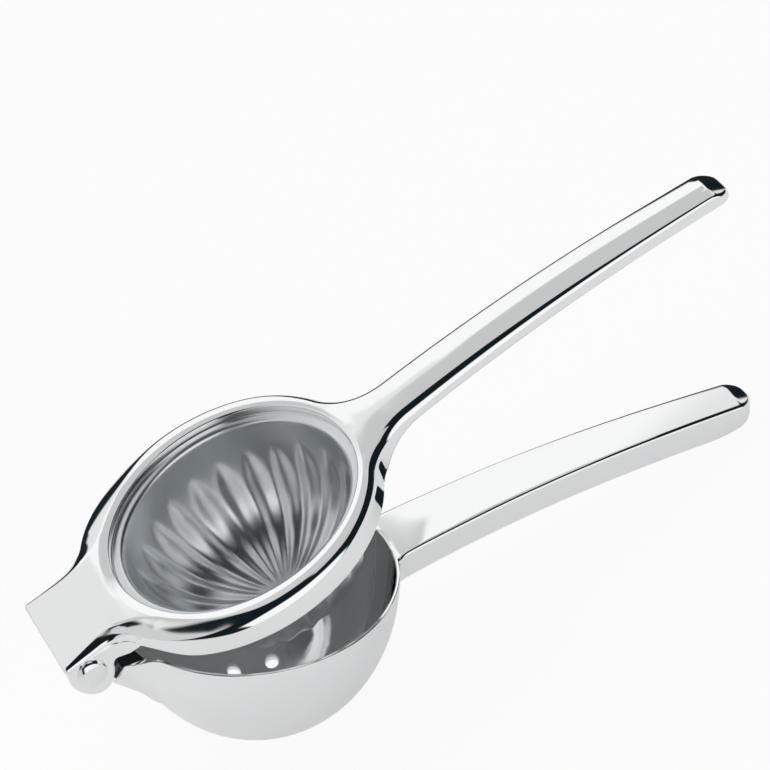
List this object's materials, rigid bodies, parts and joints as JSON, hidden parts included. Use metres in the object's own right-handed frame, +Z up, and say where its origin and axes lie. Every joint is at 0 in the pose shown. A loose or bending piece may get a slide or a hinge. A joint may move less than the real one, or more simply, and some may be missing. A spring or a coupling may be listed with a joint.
{
  "type": "hinged lemon squeezer",
  "caption": "Hand lever citrus press: a ribbed press cup in a ringed upper arm closes into a drained bowl on the lower arm about a rivet hinge.",
  "frame": {"origin": "the point where the underside of the bowl touches the table as the squeezer lies on its bowl and on the tip of its lower handle", "axes": "+X along the arms from the hinge towards the handles, +Z up, Y along the hinge rivet"},
  "size_m": [0.2129, 0.0834, 0.0779],
  "materials": {
    "polished_casting": "mirror polished",
    "pressed_steel": "semi bright pressed sheet with fine draw marks",
    "rivet": "polished, slightly soft"
  },
  "bodies": {
    "lower_arm": {"lower_arm": "polished_casting"},
    "upper_arm": {"upper_arm": "polished_casting", "press_cup": "pressed_steel", "rivet_sleeve": "rivet", "rivet_pin": "rivet"}
  },
  "joints": [
    {"name": "hinge", "type": "hinge", "parent": "lower_arm", "child": "upper_arm", "pos_m": [-0.0449, 0, 0.05982], "axis": [0, -1, 0], "range_deg": [-18.9, 89.8]}
  ]
}
